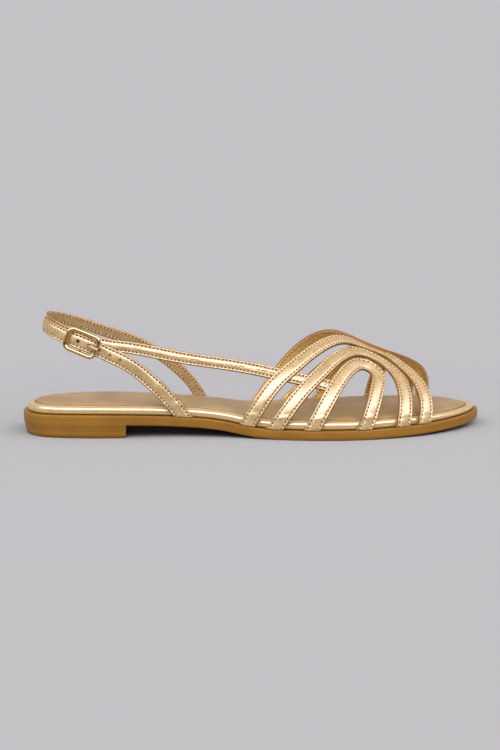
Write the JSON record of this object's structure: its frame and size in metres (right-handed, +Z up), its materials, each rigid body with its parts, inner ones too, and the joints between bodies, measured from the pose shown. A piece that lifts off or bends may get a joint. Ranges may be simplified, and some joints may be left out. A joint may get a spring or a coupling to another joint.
{
  "type": "gladiator sandal",
  "caption": "Flat open sandal with nested looped straps over the forefoot, a sling round the heel, a buckled side strap, a padded footbed and a low-heeled moulded sole.",
  "frame": {"origin": "on the floor under the middle of the sole's bounding box", "axes": "+X towards the toe, +Y towards the inner side of the foot, +Z up"},
  "size_m": [0.25, 0.0888, 0.0641],
  "materials": {
    "sole_rubber": "satin caramel moulded rubber",
    "footbed_leather": "metallic gold leather, folded and padded",
    "sock_leather": "matt metallic gold leather",
    "strap_leather": "crinkled metallic gold leather",
    "buckle_metal": "polished"
  },
  "bodies": {
    "root": {"outsole": "sole_rubber", "footbed": "footbed_leather", "sock_liner": "sock_leather", "upper": "strap_leather", "buckle_strap": "strap_leather", "buckle_frame": "buckle_metal", "buckle_prong": "buckle_metal"}
  },
  "joints": []
}
